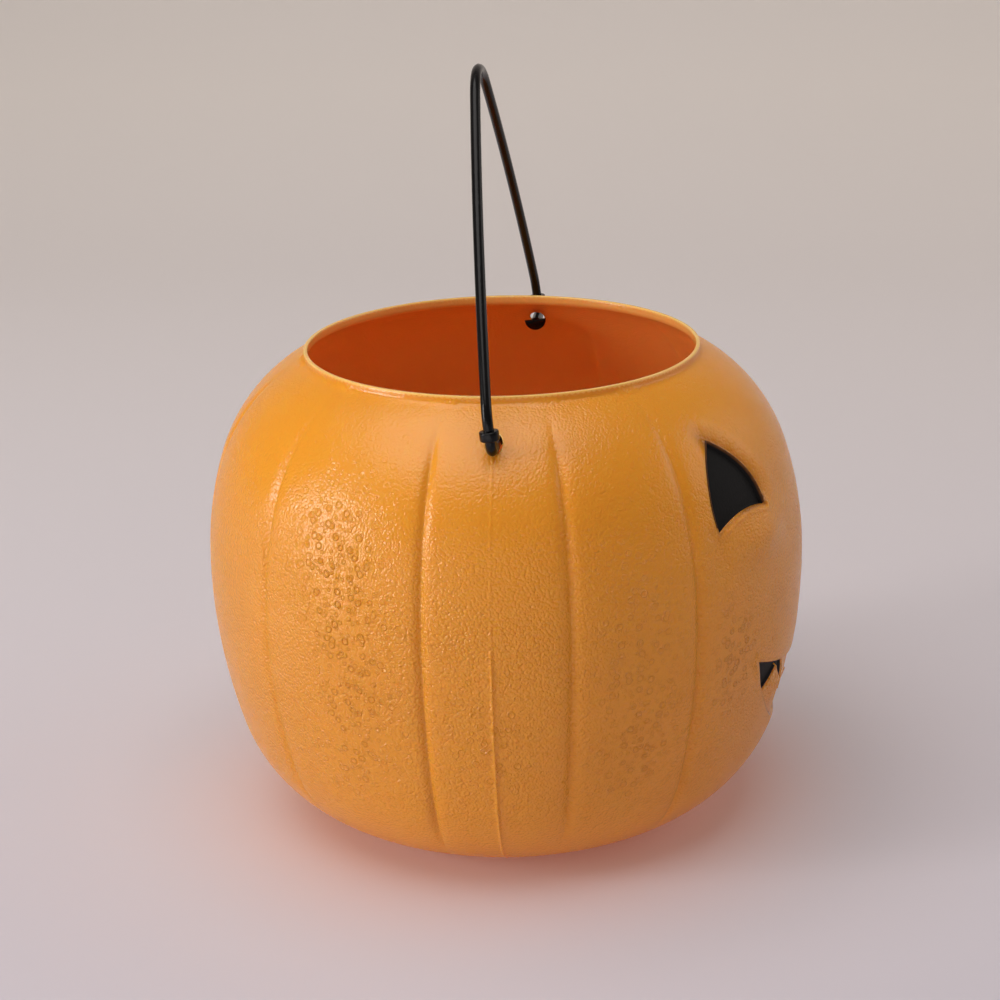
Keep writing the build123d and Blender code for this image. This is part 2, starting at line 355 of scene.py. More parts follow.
def signed_distance(places, outline):
    """Distance of places from a closed outline, negative inside it and far_away well outside it."""
    reach = 20
    result = np.full(len(places), far_away)
    low, high = outline.min(0) - reach, outline.max(0) + reach
    near = ((places > low) & (places < high)).all(1)
    p = places[near][:, None, :]
    a, b = outline, np.roll(outline, -1, 0)
    run = b - a
    share = np.clip(((p - a) * run).sum(-1) / (run * run).sum(-1), 0, 1)
    distance = np.linalg.norm(p - a - share[..., None] * run, axis=-1).min(1)
    rising = np.where(run[:, 1] == 0, 1e-9, run[:, 1])
    over = (a[:, 1] > p[..., 1]) != (b[:, 1] > p[..., 1])
    left = p[..., 0] < a[:, 0] + run[:, 0] * (p[..., 1] - a[:, 1]) / rising
    inside = (over & left).sum(1) % 2 == 1
    result[near] = np.where(inside, -distance, distance)
    return result


def face_distances(angle, radius, height):
    """Signed distances from the eyes, nose, lips and black of the mouth, far_away off the front."""
    places = np.c_[radius * np.sin(angle), height]
    facing = np.cos(angle) > face_limit
    found = {}
    for name, outline in outlines.items():
        found[name] = np.where(facing, signed_distance(places, outline), far_away)
    found["mouth"] = np.maximum(found["mouth"], found["lips"] + lip_step)
    return found


# Relief of the skin

crease_turns = {
    side * radians(90 - angle): share
    for angle, share in zip(crease_angles, crease_shares)
    for side in (-1, 1)
}


def seam_turn(radius, side):
    """Angle round the body of the parting line, which lies in a plane in front of the middle."""
    return side * np.arccos(-parting_y / radius)


def turn_gap(angle, place):
    """Angle from a place round the body, the shorter way."""
    return (angle - place + pi) % (2 * pi) - pi


def creases(angle, radius, height, soft):
    """Depth of the creases between the lobes."""
    half_fade = crease_fade / 2
    tall = ramp(height, crease_foot - half_fade, crease_foot + half_fade)
    tall = tall * ramp(height, crease_head + half_fade, crease_head - half_fade)
    depth = np.zeros_like(angle)
    for place, share in crease_turns.items():
        gap = np.hypot(turn_gap(angle, place) * radius, crease_round + soft / 2)
        depth += share * crease_depth * tall * np.exp((crease_round - gap) / (crease_reach + soft / 2))
    return depth


def parting_line(angle, radius, height):
    """Height of the ridge left where the mould halves met, and of its flash."""
    flash = ramp(height, *flash_head) * ramp(height, *flash_foot)
    tall = seam_height * (1 - flash) + seam_flash * flash
    out = np.zeros_like(angle)
    for side in (-1, 1):
        gap = turn_gap(angle, seam_turn(radius, side)) * radius
        out += tall * bell(gap / seam_width) * ramp(height, *seam_head)
        out -= (1 - flash) * swell(np.abs(gap), *seam_groove) * ramp(height, *seam_groove_head)
    return out


def brow_and_cheek(eye, across, height):
    """A hollow and a ridge along the nose side of each eye, a thin lid under it, a bulge below that, and a
    crease down from the eye's outer corner."""
    brow = swell(eye, *brow_hollow) + swell(eye, *brow_ridge)
    out = brow * ramp(across, *brow_inside) * ramp(height, *brow_foot) * ramp(height, *brow_head)
    out += swell(eye, *eyelid) * ramp(height, *eyelid_foot) * ramp(height, *eyelid_head)
    out += swell(across, *cheek_across) * swell(height, *cheek_up)
    slant = across - cheek_crease_top[0] - cheek_crease_slant * (cheek_crease_top[1] - height)
    out += swell(slant, *cheek_crease) * ramp(height, *cheek_crease_foot) * ramp(height, *cheek_crease_head)
    return out * ramp(eye, *eye_edge)


def lips_and_teeth(lips, mouth, across, height):
    """A cheek over the corner of the mouth, lips with a rolled edge, and pillowed lower teeth that lean out
    towards their tips."""
    above = swell(lips, *lip_roll) + swell(across, *smile_across) * swell(lips, *smile_cheek)
    out = above * ramp(height, *smile_foot)
    tooth_face = ramp(mouth, *tooth_edge) * ramp(lips, *tooth_foot_edge)
    for tooth in (side_tooth, middle_tooth):
        tip = lip(upper_lip_height, abs(tooth[1])) - tooth_tip_drop
        foot = tip - tooth_foot_drop
        lean = ramp(height, tip, tip - tooth_tip_fade) * ramp(height, foot, foot + tooth_foot_fade)
        out += swell(across, tooth_pillow, abs(tooth[1]), tooth_pillow_reach) * lean * tooth_face
    return out


def sunk(distance, depth, slope, soft):
    """Depth of a recess at a distance from its outline, with a sloping wall that softening widens."""
    return depth * ramp(distance, soft / 2, -soft / 2 - slope)


def relief(angle, radius, height, soft=0.0):
    """How far the skin stands out from the plain round body. Softening suits the inner face."""
    out = -creases(angle, radius, height, soft)
    if not soft:
        out += parting_line(angle, radius, height)
    found = face_distances(angle, radius, height)
    lips, mouth = found["lips"], found["mouth"]
    eye = np.minimum(found["left_eye"], found["right_eye"])
    across = np.abs(radius * np.sin(angle))
    forms = brow_and_cheek(eye, across, height) + lips_and_teeth(lips, mouth, across, height)
    out += np.where(np.cos(angle) > face_limit, forms, 0)
    widened = soft * wall_softening
    out -= sunk(eye, eye_depth, eye_wall, widened)
    out -= sunk(found["nose"], eye_depth, eye_wall, widened)
    out -= sunk(lips, tooth_set_back, eye_wall, widened)
    out -= sunk(mouth, mouth_depth - tooth_set_back, mouth_wall, widened)
    return out


# Flat mesh of the wall: lengths round the belly, and along the wall's line

def spread(places, spacing):
    """Points at an even spacing round a closed outline, with the direction in from the outline at each."""
    probe = 0.2
    loop = np.concatenate((places, places[:1]))
    length = np.r_[0, np.cumsum(np.hypot(*np.diff(loop, axis=0).T))]
    along = np.linspace(0, length[-1], max(12, int(length[-1] / spacing)), endpoint=False)
    even = np.c_[np.interp(along, length, loop[:, 0]), np.interp(along, length, loop[:, 1])]
    ahead = np.roll(even, -1, 0) - np.roll(even, 1, 0)
    ahead /= np.maximum(np.hypot(*ahead.T), 1e-9)[:, None]
    inward = np.c_[-ahead[:, 1], ahead[:, 0]]
    step = signed_distance(even + probe * inward, places)
    return even, np.where(step[:, None] < 0, inward, -inward)


def flat_map(line, places):
    """Front-view places on the skin, laid flat."""
    v = line.length_at(places[:, 1])
    radius = line.at(v)[0]
    return np.c_[belly_radius * np.arcsin(np.clip(places[:, 0] / radius, -1, 1)), v]


def thin_out(points, cell):
    """Keeps the first of the points in each cell of a grid."""
    keys = np.round(points / cell).astype(np.int64)
    _, first = np.unique(keys, axis=0, return_index=True)
    return points[np.sort(first)]


def hole_rings(line):
    """Rings of the two pivot holes."""
    turn = np.linspace(0, 2 * pi, hole_sides, endpoint=False)
    y, z = parting_y + hole_radius * np.cos(turn), hole_height + hole_radius * np.sin(turn)
    v = line.length_at(z)
    return [np.c_[belly_radius * side * np.arccos(-y / line.at(v)[0]), v] for side in (-1, 1)]


def points_on_outlines(line, outer, spacing):
    """Points along the outlines of the face, and on the outer face along the edges of walls and paint."""
    depths = (0.0, -paint_edge, eye_wall, eye_wall / 2) if outer else (0.0,)
    true_within, lips_within = 0.06, 0.5
    found = []
    for name, outline in outlines.items():
        places, inward = spread(outline, spacing * 0.9)
        for depth in depths:
            moved = places + depth * inward
            kept = np.abs(signed_distance(moved, outline) + depth) < true_within
            if name == "mouth":
                kept &= signed_distance(moved, outlines["lips"]) < lips_within
            found.append(flat_map(line, moved[kept]))
    return found


def points_on_creases(line, outer):
    """Lines of points along each crease, closest in its bottom."""
    gaps = (0, 0.35, 0.75, 1.25, 1.9, 2.8, 4.0, 5.6) if outer else (0, 1.5, 3.2)
    first, last, spacing = 9.0, 179.0, 1.5 if outer else 4.0
    v = np.arange(line.length_at(first), line.length_at(last), spacing)
    radius = line.at(v)[0]
    found = []
    for place in crease_turns:
        for n, gap in enumerate(sorted({*gaps, *(-gap for gap in gaps)})):
            stagger = spacing / 2 * (n % 2) if outer else 0
            found.append(np.c_[belly_radius * (place + gap / radius), v + stagger])
    return found


def points_on_seam(line):
    """Lines of points along the parting line and the flash."""
    gaps = (-1.5, -0.9, -0.5, -0.22, 0, 0.22, 0.5, 0.9, 1.5, 2.1, 2.6, 3.1)
    first, last, spacing = 2.0, 176.0, 1.0
    v = np.arange(line.length_at(first), line.length_at(last), spacing)
    radius = line.at(v)[0]
    return [
        np.c_[belly_radius * (seam_turn(radius, side) + gap / radius), v] for side in (-1, 1) for gap in gaps
    ]


def points_near_outlines(line, outer, spacing):
    """A close lattice on both sides of each outline of the face, clear of the points along it."""
    margin, reach = 4, 3.4
    across_step, up_step = spacing * 1.3, spacing * 1.2
    found = []
    for outline in outlines.values():
        low, high = outline.min(0) - margin, outline.max(0) + margin
        across = np.arange(low[0], high[0], across_step)
        up = np.arange(low[1], high[1], up_step)
        lattice = np.stack(np.meshgrid(across, up), -1)
        lattice[1::2, :, 0] += across_step / 2
        lattice = lattice.reshape(-1, 2)
        gap = signed_distance(lattice, outline)
        clear = np.abs(gap[:, None] - (0.0, paint_edge, -eye_wall, -eye_wall / 2)).min(1) > spacing / 2
        found.append(flat_map(line, lattice[(np.abs(gap) < reach) & (clear | (not outer))]))
    return found


def points_between(rows, even, fine):
    """A wide lattice over the lobes, left out where the mesh is already close."""
    cell = 1.6
    half_step = (even[1] - even[0]) / 2
    wide = []
    for n, v in enumerate(rows):
        u = even[:-1] + half_step if n % 2 else even[1:-1]
        wide.append(np.c_[u, np.full(len(u), v)])
    wide = np.concatenate(wide)
    close = {tuple(key) for key in np.round(fine / cell).astype(int)}
    near = np.array([
        any((a + i, b + j) in close for i in (-1, 0, 1) for j in (-1, 0, 1))
        for a, b in np.round(wide / cell).astype(int)
    ])
    return wide[~near]


def wall_patch(line, outer):
    """Points and triangles of one face of the wall, flat, with its borders and the rings of its holes."""
    row_spacing = 3.3 if outer else 4.2
    spacing = 0.5 if outer else 1.2
    cell = 0.2 if outer else 0.6
    base_rows, rim_rows = (0, 0.9, 2.0), (5.2, 4.2, 3.4, 2.8, 2.3, 1.8, 1.2, 0.6, 0.0)
    rows = np.r_[base_rows, np.arange(3.5, line.end - 6, row_spacing), line.end - np.array(rim_rows)]
    half = pi * belly_radius
    step = 2 * half / columns
    even = -half + step * np.arange(columns + 1)
    bottom = np.c_[even, np.zeros(columns + 1)]
    top = np.c_[even, np.full(columns + 1, line.end)]
    left = np.c_[np.full(len(rows) - 2, -half), rows[1:-1]]
    right = left * (-1, 1)
    rings = hole_rings(line)
    fixed = [bottom, top, left, right, *rings]
    fine = []
    for ring in rings:
        middle = ring.mean(0)
        fine += [middle + (ring - middle) * grow for grow in (1.16, 1.4, 1.75, 2.2)]
    fine += points_on_outlines(line, outer, spacing)
    fine += points_on_creases(line, outer)
    if outer:
        fine += points_on_seam(line)
    fine += points_near_outlines(line, outer, spacing)
    fine = np.concatenate(fine)
    loose = np.concatenate((fine, points_between(rows[1:-1], even, fine)))
    # loose points keep off the borders and the rings of the holes
    off_cut, off_base, off_rim, off_hole = 1, 0.4, 0.3, 0.22
    clear = (loose[:, 1] > off_base) & (loose[:, 1] < line.end - off_rim)
    clear &= np.abs(loose[:, 0]) < half - off_cut
    for ring in rings:
        clear &= signed_distance(loose, ring) > off_hole
    loose = thin_out(loose[clear], cell)
    points = np.concatenate((*fixed, loose))
    starts = np.cumsum([0] + [len(part) for part in fixed])
    parts = [np.arange(a, b) for a, b in zip(starts[:-1], starts[1:])]
    bottom, top, left, right, *holes = parts
    kept_edges = [(int(a), int(b)) for hole in holes for a, b in zip(hole, np.roll(hole, -1))]
    _, _, faces, origin, _, _ = delaunay_2d_cdt([Vector(p) for p in points], kept_edges, [], 0, 1e-6)
    back = np.array([source[0] for source in origin])
    triangles = back[np.array([list(face) for face in faces])]
    for ring in rings:
        triangles = triangles[signed_distance(points[triangles].mean(1), ring) > 0]
    # the two sides of the cut down the back are one line
    weld = np.arange(len(points))
    weld[right] = left
    weld[bottom[-1]] = bottom[0]
    weld[top[-1]] = top[0]
    return points, weld[triangles], (bottom[:-1], top[:-1], *holes)


def place_skin(line, points, soft):
    """Points of a flat patch put on the moulded wall, in space, with their plain angle, radius and height."""
    angle, v = points[:, 0] / belly_radius, points[:, 1]
    radius, height, nr, nz = line.at(v)
    out = relief(angle, radius, height, soft)
    r, z = radius + out * nr, height + out * nz
    return np.c_[r * np.sin(angle), -r * np.cos(angle), z], angle, radius, height


class Builder:
    """Gathers points, faces and a few values per point, and makes one mesh object of them."""

    def __init__(self):
        self.points, self.faces, self.count, self.values = [], [], 0, {}

    def add_points(self, points, **values):
        """Adds points with their values, and gives their numbers."""
        points = np.asarray(points, float)
        self.points.append(points)
        for name, value in values.items():
            self.values.setdefault(name, []).append((self.count, np.broadcast_to(value, len(points))))
        self.count += len(points)
        return np.arange(self.count - len(points), self.count)

    def add_faces(self, faces):
        """Adds faces, each given by the numbers of its points."""
        self.faces += [tuple(int(i) for i in face) for face in faces]

    def bridge(self, first, second):
        """Band of faces between two closed rings of as many points."""
        a, b = np.roll(first, -1), np.roll(second, -1)
        self.add_faces(np.c_[first, a, b, second])

    def add_tube(self, rings, **values):
        """Closed skin through rings of as many points, with a face over each end."""
        placed = [self.add_points(ring, **values) for ring in rings]
        for first, second in zip(placed[1:], placed[:-1]):
            self.bridge(first, second)
        self.add_faces([placed[0], placed[-1][::-1]])

    def make(self, name, material):
        """Smooth mesh object, in metres, of the points that faces use, with its faces turned outwards."""
        mesh = bpy.data.meshes.new(name)
        points = np.concatenate(self.points) * MM
        used = np.zeros(len(points), bool)
        for face in self.faces:
            used[list(face)] = True
        fresh = np.cumsum(used) - 1
        mesh.from_pydata(points[used].tolist(), [], [[int(fresh[i]) for i in face] for face in self.faces])
        for key, runs in self.values.items():
            full = np.zeros(len(points))
            for start, value in runs:
                full[start:start + len(value)] = value
            attribute = mesh.attributes.new(key, "FLOAT", "POINT")
            attribute.data.foreach_set("value", full[used].astype(np.float32))
        mesh.shade_smooth()
        mesh.validate()
        work = bmesh.new()
        work.from_mesh(mesh)
        bmesh.ops.recalc_face_normals(work, faces=work.faces)
        work.to_mesh(mesh)
        work.free()
        mesh.materials.append(material)
        piece = bpy.data.objects.new(name, mesh)
        bpy.context.scene.collection.objects.link(piece)
        return piece


# Materials

# colour sockets of a Mix node, by number because their names belong to its other sockets too
colour_a, colour_b, mixed = 6, 7, 2


def linear(hex_colour):
    """Linear colour of an sRGB hex value."""
    parts = [int(hex_colour[i:i + 2], 16) / 255 for i in (1, 3, 5)]
    return (*(c / 12.92 if c <= 0.04045 else ((c + 0.055) / 1.055) ** 2.4 for c in parts), 1.0)


def add_node(tree, kind, inputs=None, **settings):
    """Adds a node, sets its properties, and sets or links its inputs."""
    made = tree.nodes.new("ShaderNode" + kind)
    for name, value in settings.items():
        setattr(made, name, value)
    for name, value in (inputs or {}).items():
        if isinstance(value, bpy.types.NodeSocket):
            tree.links.new(value, made.inputs[name])
        else:
            made.inputs[name].default_value = value
    return made


def new_material(name):
    """A material with its node tree and its surface."""
    material = bpy.data.materials.new(name)
    material.use_nodes = True
    tree = material.node_tree
    return material, tree, tree.nodes["Principled BSDF"]


def per_metre(millimetres):
    """Scale of a pattern whose features are this far apart."""
    return 1000 / millimetres


def blow_moulded_polyethylene():
    """Orange polyethylene blown against a sand-blasted mould: a satin, slightly waxy skin with a fine
    orange-peel grain, burst bubbles that left little rings, and light that seeps a little way in. Its colour
    also holds painted light: a painted glow that makes the lining brighter, a brown by the eyes and teeth
    that is partly overspray of black paint and partly painted shade, and a pale painted highlight on the
    cut edges of the rim and the holes."""
    material, tree, surface = new_material("blow_moulded_polyethylene")
    place = add_node(tree, "TexCoord").outputs["Object"]
    rings, grain, rim, mist, lining = (
        add_node(tree, "Attribute", attribute_name=name).outputs["Fac"]
        for name in ("rings", "grain", "rim", "mist", "lining")
    )

    # pebbled grain about 1 mm apart over a fine sand-blast, heights in millimetres
    pebble_height, sand_height = 0.45, 0.2
    pebble = add_node(tree, "TexVoronoi", {"Vector": place, "Scale": per_metre(1.0)}, feature="F1")
    sand = add_node(tree, "TexNoise", {"Vector": place, "Scale": per_metre(0.65), "Detail": 1.0})
    patchy = add_node(tree, "TexNoise", {"Vector": place, "Scale": per_metre(22.0), "Detail": 2.0})
    uneven = add_node(tree, "Math", {0: patchy.outputs["Fac"], 1: 1.2, 2: 0.4}, operation="MULTIPLY_ADD")
    coarse = add_node(tree, "Math", {0: grain, 1: uneven.outputs[0]}, operation="MULTIPLY").outputs[0]
    dome = add_node(tree, "Math", {0: pebble.outputs["Distance"], 1: 2.0}, operation="POWER")
    fall = add_node(tree, "Math", {0: coarse, 1: -pebble_height}, operation="MULTIPLY")
    pebbled = add_node(tree, "Math", {0: dome.outputs[0], 1: fall.outputs[0]}, operation="MULTIPLY")
    sandy = add_node(tree, "Math", {0: sand.outputs["Fac"], 1: sand_height}, operation="MULTIPLY")
    skin_height = add_node(
        tree, "Math", {0: sandy.outputs[0], 1: coarse, 2: pebbled.outputs[0]}, operation="MULTIPLY_ADD"
    )

    # rings 2 to 4 mm across, one to a cell, where the cell's middle lies near the skin
    ring_width = 0.1  # as a share of the cells' spacing
    for spacing, size, ring_height in ((3.9, 0.30, 0.55), (2.6, 0.28, 0.28)):
        cells = add_node(
            tree, "TexVoronoi",
            {"Vector": place, "Scale": per_metre(spacing), "Randomness": 0.9},
            feature="F1",
        )
        off = add_node(tree, "Math", {0: cells.outputs["Distance"], 1: size}, operation="SUBTRACT")
        off = add_node(tree, "Math", {0: off.outputs[0]}, operation="ABSOLUTE")
        off = add_node(tree, "Math", {0: off.outputs[0], 1: ring_width}, operation="DIVIDE")
        ridge = add_node(tree, "Math", {0: 1.0, 1: off.outputs[0]}, operation="SUBTRACT", use_clamp=True)
        ridge = add_node(tree, "Math", {0: ridge.outputs[0], 1: ring_height}, operation="MULTIPLY")
        skin_height = add_node(
            tree, "Math", {0: ridge.outputs[0], 1: rings, 2: skin_height.outputs[0]}, operation="MULTIPLY_ADD"
        )
    bump = add_node(tree, "Bump", {"Height": skin_height.outputs[0], "Distance": MM, "Strength": 1.0})
    tree.links.new(bump.outputs["Normal"], surface.inputs["Normal"])

    # colour drifts a little with the wall's thickness
    drift = add_node(tree, "TexNoise", {"Vector": place, "Scale": per_metre(60.0), "Detail": 3.0})
    colour = add_node(
        tree, "Mix",
        {"Factor": drift.outputs["Fac"], colour_a: linear("#ec9d26"), colour_b: linear("#e69320")},
        data_type="RGBA",
    )
    # painted light laid over the plastic's colour: by lining, a brighter painted glow for light that comes
    # through the wall; by mist, brown that is partly overspray and partly painted shade; by rim, a pale
    # painted highlight on the cut edges
    for share, tint in ((lining, "#ffb45e"), (mist, "#4a2a12"), (rim, "#f9c069")):
        colour = add_node(
            tree, "Mix",
            {"Factor": share, colour_a: colour.outputs[mixed], colour_b: linear(tint)},
            data_type="RGBA",
        )
    tree.links.new(colour.outputs[mixed], surface.inputs["Base Color"])
    satin = add_node(tree, "Math", {0: patchy.outputs["Fac"], 1: 0.1, 2: 0.19}, operation="MULTIPLY_ADD")
    tree.links.new(satin.outputs[0], surface.inputs["Roughness"])
    surface.inputs["IOR"].default_value = 1.51
    surface.inputs["Subsurface Weight"].default_value = 0.4
    surface.inputs["Subsurface Radius"].default_value = (1.0, 0.42, 0.15)
    surface.inputs["Subsurface Scale"].default_value = 4.0 * MM
    return material


def sprayed_black_paint():
    """Black acrylic sprayed through a mask: matt, with a faint dry grain, and a brown line where it breaks
    over the edge of each recess that is partly worn paint and partly a painted highlight of the edge catching
    light."""
    material, tree, surface = new_material("sprayed_black_paint")
    place = add_node(tree, "TexCoord").outputs["Object"]
    wear = add_node(tree, "Attribute", attribute_name="wear").outputs["Fac"]
    spray = add_node(tree, "TexNoise", {"Vector": place, "Scale": per_metre(0.9), "Detail": 2.0})
    patchy = add_node(tree, "TexNoise", {"Vector": place, "Scale": per_metre(3.0), "Detail": 2.0})
    # broken brown line at the recess edge: worn paint and a painted highlight
    broken = add_node(tree, "Math", {0: wear, 1: patchy.outputs["Fac"]}, operation="MULTIPLY")
    black = add_node(
        tree, "Mix",
        {"Factor": spray.outputs["Fac"], colour_a: linear("#0c0b0b"), colour_b: linear("#151413")},
        data_type="RGBA",
    )
    colour = add_node(
        tree, "Mix",
        {"Factor": broken.outputs[0], colour_a: black.outputs[mixed], colour_b: linear("#a5652a")},
        data_type="RGBA",
    )
    tree.links.new(colour.outputs[mixed], surface.inputs["Base Color"])
    matt = add_node(tree, "Math", {0: spray.outputs["Fac"], 1: 0.2, 2: 0.5}, operation="MULTIPLY_ADD")
    tree.links.new(matt.outputs[0], surface.inputs["Roughness"])
    bump = add_node(tree, "Bump", {"Height": spray.outputs["Fac"], "Distance": 0.08 * MM, "Strength": 1.0})
    tree.links.new(bump.outputs["Normal"], surface.inputs["Normal"])
    surface.inputs["IOR"].default_value = 1.48
    surface.inputs["Specular IOR Level"].default_value = 0.15
    return material


def moulded_black_polypropylene():
    """Black polypropylene from a polished mould: deep black with a satin sheen that clouds a little, and fine
    specks that break its highlight."""
    material, tree, surface = new_material("moulded_black_polypropylene")
    place = add_node(tree, "TexCoord").outputs["Object"]
    cloud = add_node(tree, "TexNoise", {"Vector": place, "Scale": per_metre(7.0), "Detail": 3.0})
    speck = add_node(tree, "TexNoise", {"Vector": place, "Scale": per_metre(0.9), "Detail": 2.0})
    colour = add_node(
        tree, "Mix",
        {"Factor": cloud.outputs["Fac"], colour_a: linear("#070606"), colour_b: linear("#0d0b0b")},
        data_type="RGBA",
    )
    tree.links.new(colour.outputs[mixed], surface.inputs["Base Color"])
    sheen = add_node(tree, "Math", {0: cloud.outputs["Fac"], 1: 0.16, 2: 0.14}, operation="MULTIPLY_ADD")
    tree.links.new(sheen.outputs[0], surface.inputs["Roughness"])
    bump = add_node(tree, "Bump", {"Height": speck.outputs["Fac"], "Distance": 0.05 * MM, "Strength": 1.0})
    tree.links.new(bump.outputs["Normal"], surface.inputs["Normal"])
    surface.inputs["IOR"].default_value = 1.49
    surface.inputs["Specular IOR Level"].default_value = 0.25
    return material


def painted_board():
    """Board of the studio sweep in matt emulsion: pale, with painted light that leaves it cooler and darker
    near the camera and lighter far from it, and a painted glow round the pail's foot.
    """
    material, tree, surface = new_material("painted_board")
    place = add_node(tree, "TexCoord").outputs["Object"]
    along = add_node(tree, "SeparateXYZ", {"Vector": place})
    # painted light: the board grows lighter and warmer far from the camera
    far = add_node(tree, "MapRange", {"Value": along.outputs["X"], "From Min": -0.4, "From Max": 1.4})
    colour = add_node(
        tree, "Mix",
        {"Factor": far.outputs["Result"], colour_a: linear("#c5c0cb"), colour_b: linear("#f6ede6")},
        data_type="RGBA",
    )
    tree.links.new(colour.outputs[mixed], surface.inputs["Base Color"])
    surface.inputs["Roughness"].default_value = 0.6
    # painted glow: the board gives out light round the foot, standing in for light that seeps through the
    # orange wall
    away = add_node(tree, "VectorMath", {0: place}, operation="LENGTH")
    seep_glow = add_node(
        tree, "MapRange",
        {"Value": away.outputs["Value"], "From Min": 0.155, "From Max": 0.07, "To Max": 0.14},
        interpolation_type="SMOOTHSTEP",
    )
    tree.links.new(seep_glow.outputs["Result"], surface.inputs["Emission Strength"])
    surface.inputs["Emission Color"].default_value = linear("#ffb09a")
    return material


polyethylene = blow_moulded_polyethylene()
paint = sprayed_black_paint()
polypropylene = moulded_black_polypropylene()
board = painted_board()


# Shell

def bubbles(angle, height):
    """How strongly the rings of burst bubbles show."""
    side = 90 - np.degrees(np.abs(angle))
    field = np.full_like(angle, fewest_bubbles)
    for place, level, wide, tall, strength in bubble_fields:
        field += strength * bell((side - place) / wide) * bell((height - level) / tall)
    return np.minimum(field, most_bubbles)


def paint_mist(angle, radius, height, found):
    """Brown for the skin by the face: overspray of black paint and painted shade along the brow side of each
    eye, faintly round the rest, and painted shade in the crease at the foot of the teeth.
    """
    eye = np.minimum(found["left_eye"], found["right_eye"])
    across = np.abs(radius * np.sin(angle))
    brow = mist_strength * ramp(across, *mist_inside) * ramp(height, *mist_foot)
    mist = brow * bell(np.maximum(eye, 0) / mist_reach) + swell(eye, *mist_round_eye)
    # painted shade in the crease along the foot of the teeth, kept off the black of the mouth
    foot = np.where(found["mouth"] > mist_off_black, swell(found["lips"], *mist_under_teeth), 0)
    return np.maximum(mist, foot)


def level_ring(radius, height):
    """Points of a level ring about the middle, one to each column of the shell's mesh."""
    turn = np.linspace(-pi, pi, columns, endpoint=False)
    return np.c_[radius * np.sin(turn), -radius * np.cos(turn), np.full(columns, height)]


def add_underside(shell, ring, line, lining):
    """Closes a face of the wall across the base, over the standing ring and up on to the raised panel."""
    ring_in = base_radius - standing_ring_width
    panel = ring_in - push_up_run
    slope_edge = ((1.2, 0), (0, 0.12), (-1.0, 0.5))  # runs and rises round each end of the slope
    panel_rings = (30, 22, 14, 8, 4, 1.6)
    steps = [(base_radius - 2.5, 0)]
    steps += [(ring_in + run, rise) for run, rise in slope_edge]
    steps += [(panel - run, push_up_depth - rise) for run, rise in slope_edge[::-1]]
    steps += [(radius, push_up_depth) for radius in panel_rings]
    for radius, rise in steps:
        fresh = shell.add_points(level_ring(radius, rise + line.z[0]), grain=base_grain, lining=lining)
        shell.bridge(ring, fresh)
        ring = fresh
    shell.add_faces([ring])


def pinch_off_rings():
    """Ridge where the blown tube was pinched shut, under the raised panel."""
    turn = np.linspace(0, 2 * pi, pinch_off_sides, endpoint=False)
    straight = np.where(np.cos(turn) > 0, 1, -1) * (pinch_off_length - pinch_off_width) / 2
    steps = ((1.0, -0.2), (1.0, 0.5), (0.55, pinch_off_height))  # shares of its width, and drops
    rings = []
    for shrink, drop in steps:
        r = pinch_off_width / 2 * shrink
        height = np.full(pinch_off_sides, push_up_depth - drop)
        rings.append(np.c_[straight + r * np.cos(turn), parting_y + r * np.sin(turn), height])
    return rings


def make_shell():
    """Both faces of the wall, joined at the rim and in the holes and closed across the base. Also gives the
    outer skin's points and triangles and their distances from the outlines of the face."""
    shell = Builder()
    outer_line, inner_line = WallLine(0.0), WallLine(wall)
    flat, triangles, borders = wall_patch(outer_line, True)
    points, angle, radius, height = place_skin(outer_line, flat, 0)
    # painted highlight: the rim's cut edge and the rings of the holes are painted pale
    edge_highlight = ramp(flat[:, 1], outer_line.end - outer_edge_highlight, outer_line.end)
    for hole in borders[2:]:
        edge_highlight[hole] = hole_edge_highlight
    field = bubbles(angle, height)
    grain = ramp(height, *grain_foot) * ramp(height, *grain_head)
    grain = grain * (1 - grain_lost_to_bubbles * np.minimum(field, 1))
    grain = least_grain + (1 - least_grain) * grain
    found = face_distances(angle, radius, height)
    # brown by the eyes and teeth: overspray and painted shade
    mist = paint_mist(angle, radius, height, found)
    start = shell.add_points(points, rings=field, grain=grain, rim=edge_highlight, mist=mist)[0]
    shell.add_faces(triangles + start)
    outer_base, outer_rim, *outer_holes = (border + start for border in borders)

    flat, inner_triangles, borders = wall_patch(inner_line, False)
    inner_points, _, _, _ = place_skin(inner_line, flat, lining_soft)
    # the same painted highlight below the rim on the inner face
    edge_highlight = ramp(flat[:, 1], inner_line.end - inner_edge_highlight, inner_line.end)
    # the lining gets a painted glow: a brighter colour that stands in for light coming through the wall
    start = shell.add_points(inner_points, grain=lining_grain, lining=1.0, rim=edge_highlight)[0]
    shell.add_faces(inner_triangles[:, ::-1] + start)
    inner_base, inner_rim, *inner_holes = (border + start for border in borders)

    last = outer_rim
    # the rim's top takes the full painted highlight
    for share in (0.12, 0.5, 0.88):
        fresh = shell.add_points(level_ring(rim_radius - wall * share, rim_height), rim=1.0)
        shell.bridge(last, fresh)
        last = fresh
    shell.bridge(last, inner_rim)
    for outer_hole, inner_hole in zip(outer_holes, inner_holes):
        shell.bridge(outer_hole, inner_hole)
    # the base's outer face has none of the lining's painted glow, and its inner face all of it
    add_underside(shell, outer_base, outer_line, lining=0.0)
    add_underside(shell, inner_base, inner_line, lining=1.0)
    shell.add_tube(pinch_off_rings(), grain=pinch_off_grain)
    return shell.make("pail_shell_moulding", polyethylene), points, triangles, found


pail_shell, skin, skin_triangles, face = make_shell()
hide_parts("pail_shell")
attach(pail_shell, "pail")


# Paint in the face

